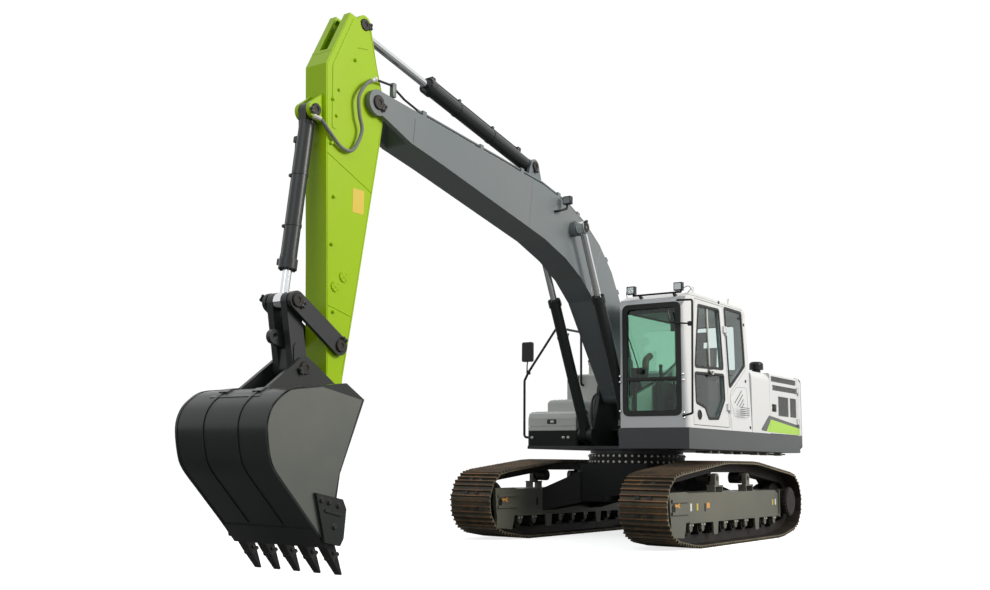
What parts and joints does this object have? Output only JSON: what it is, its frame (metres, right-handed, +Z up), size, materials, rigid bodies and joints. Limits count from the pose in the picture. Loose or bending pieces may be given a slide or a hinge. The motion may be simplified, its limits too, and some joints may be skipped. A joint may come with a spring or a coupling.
{
  "type": "crawler excavator",
  "caption": "Tracked digging machine with a closed cab, a swinging upper body, a bent boom, an arm and a toothed bucket.",
  "frame": {"origin": "on the ground, under the swing axis", "axes": "+X forward along the boom, +Y to the cab side, +Z up"},
  "size_m": [10.145, 2.98, 5.1868],
  "materials": {
    "track_steel": "worn, rust at the edges",
    "frame_olive": "matt, dusty",
    "machined_steel": "greased",
    "dark_grey": "satin",
    "white_paint": "gloss, slightly dusty",
    "tinted_glass": "clear, green tint",
    "seat_fabric": "woven",
    "black_plastic": "grained",
    "weight_iron": "painted casting",
    "engine_iron": "painted casting",
    "light_grey": "satin",
    "boom_grey": "satin, dusty",
    "lime_paint": "gloss, worn at the edges",
    "rod_chrome": "polished",
    "bucket_grey": "matt, scratched",
    "rail_black": "satin",
    "exhaust_steel": "heat tinted"
  },
  "bodies": {
    "base": {"carbody": "frame_olive", "swing_bearing": "machined_steel", "track_frame_left": "frame_olive", "track_frame_right": "frame_olive", "track_left": "track_steel", "track_right": "track_steel", "track_rollers": "frame_olive", "carrier_rollers": "frame_olive", "idlers": "frame_olive", "sprockets": "frame_olive"},
    "upper": {"air_cleaner": "black_plastic", "body_panels": "white_paint", "cab_controls": "black_plastic", "cab_glass": "tinted_glass", "cab_shell": "white_paint", "counterweight": "weight_iron", "engine": "engine_iron", "exhaust_pipe": "exhaust_steel", "fuel_tank": "white_paint", "handrails": "rail_black", "mirrors": "black_plastic", "oil_tank": "white_paint", "operator_seat": "seat_fabric", "platform": "dark_grey", "skirts": "dark_grey", "step_box": "light_grey", "toolbox": "light_grey", "work_lamps": "black_plastic"},
    "cab_door": {"cab_door": "white_paint", "door_glass": "tinted_glass"},
    "cooler_door": {"cooler_door": "white_paint"},
    "pump_door": {"pump_door": "white_paint"},
    "engine_hood": {"engine_hood": "dark_grey"},
    "toolbox_lid": {"toolbox_lid": "light_grey"},
    "boom": {"boom": "boom_grey", "boom_pipes": "dark_grey"},
    "arm": {"arm": "lime_paint"},
    "bucket": {"bucket": "bucket_grey"},
    "boom_barrels": {"boom_cylinder_barrel": "dark_grey"},
    "boom_rods": {"boom_cylinder_rod": "rod_chrome"},
    "arm_barrel": {"arm_cylinder_barrel": "dark_grey"},
    "arm_rod": {"arm_cylinder_rod": "rod_chrome"},
    "bucket_barrel": {"bucket_cylinder_barrel": "dark_grey"},
    "bucket_rod": {"bucket_cylinder_rod": "rod_chrome"},
    "idler_links": {"idler_links": "bucket_grey"},
    "power_link": {"power_link": "bucket_grey"}
  },
  "joints": [
    {"name": "swing", "type": "hinge", "parent": "base", "child": "upper", "pos_m": [0, 0, 1.088], "axis": [0, 0, 1], "continuous": true},
    {"name": "boom_lift", "type": "hinge", "parent": "upper", "child": "boom", "pos_m": [0.468, 0, 1.89], "axis": [0, -1, 0], "range_deg": [-70, 38]},
    {"name": "arm_swing", "type": "hinge", "parent": "boom", "child": "arm", "pos_m": [5.618, 0, 4.354], "axis": [0, 1, 0], "range_deg": [-82, 38]},
    {"name": "bucket_curl", "type": "hinge", "parent": "arm", "child": "bucket", "pos_m": [6.045, 0, 1.5], "axis": [0, 1, 0], "range_deg": [-20, 150]},
    {"name": "boom_barrel_tilt", "type": "hinge", "parent": "upper", "child": "boom_barrels", "pos_m": [0.8, 0, 1.34], "axis": [0, -1, 0], "range_deg": [-65.3, 35.54]},
    {"name": "boom_rod_stroke", "type": "slide", "parent": "boom_barrels", "child": "boom_rods", "axis": [0.4362, 0, 0.8999], "range_m": [-0.6898, 0.3754]},
    {"name": "arm_barrel_tilt", "type": "hinge", "parent": "boom", "child": "arm_barrel", "pos_m": [2.7, 0, 4.435], "axis": [0, -1, 0], "range_deg": [-0.5, 0.84]},
    {"name": "arm_rod_stroke", "type": "slide", "parent": "arm_barrel", "child": "arm_rod", "axis": [0.978, 0, 0.2084], "range_m": [-0.9376, 0.4356]},
    {"name": "bucket_barrel_tilt", "type": "hinge", "parent": "arm", "child": "bucket_barrel", "pos_m": [6.353, 0, 4.093], "axis": [0, -1, 0], "range_deg": [-4.97, 0.84]},
    {"name": "bucket_rod_stroke", "type": "slide", "parent": "bucket_barrel", "child": "bucket_rod", "axis": [0.1184, 0, -0.993], "range_m": [-0.1297, 0.9597]},
    {"name": "idler_link_swing", "type": "hinge", "parent": "arm", "child": "idler_links", "pos_m": [6.014, 0, 1.973], "axis": [0, 1, 0], "range_deg": [-12.8, 94.7]},
    {"name": "power_link_swing", "type": "hinge", "parent": "bucket", "child": "power_link", "pos_m": [6.442, 0, 1.741], "axis": [0, -1, 0], "range_deg": [-14.2, 105.2]},
    {"name": "cab_door_hinge", "type": "hinge", "parent": "upper", "child": "cab_door", "pos_m": [0.056, 1.38498, 1.39817], "axis": [0, -0.0349, 0.9994], "range_deg": [0, 170]},
    {"name": "cooler_door_hinge", "type": "hinge", "parent": "upper", "child": "cooler_door", "pos_m": [-2.492, 1.382, 1.8], "axis": [0, 0, 1], "range_deg": [0, 120]},
    {"name": "pump_door_hinge", "type": "hinge", "parent": "upper", "child": "pump_door", "pos_m": [-2.492, -1.382, 1.8], "axis": [0, 0, -1], "range_deg": [0, 120]},
    {"name": "engine_hood_hinge", "type": "hinge", "parent": "upper", "child": "engine_hood", "pos_m": [-1.234, 0.05, 2.256], "axis": [0, 1, 0], "range_deg": [0, 70]},
    {"name": "toolbox_lid_hinge", "type": "hinge", "parent": "upper", "child": "toolbox_lid", "pos_m": [0.116, -1, 1.655], "axis": [0, -1, 0], "range_deg": [0, 85]}
  ],
  "couplings": [
    {"joint": "boom_barrel_tilt", "follows": "boom_lift", "ratio": 0.93},
    {"joint": "boom_rod_stroke", "follows": "boom_lift", "m_per_rad": 0.563},
    {"joint": "arm_barrel_tilt", "follows": "arm_swing", "ratio": -0.0078},
    {"joint": "arm_rod_stroke", "follows": "arm_swing", "m_per_rad": 0.6537},
    {"joint": "bucket_barrel_tilt", "follows": "bucket_curl", "ratio": -0.0318},
    {"joint": "bucket_rod_stroke", "follows": "bucket_curl", "m_per_rad": 0.3658},
    {"joint": "idler_link_swing", "follows": "bucket_curl", "ratio": 0.63},
    {"joint": "power_link_swing", "follows": "bucket_curl", "ratio": 0.7}
  ]
}
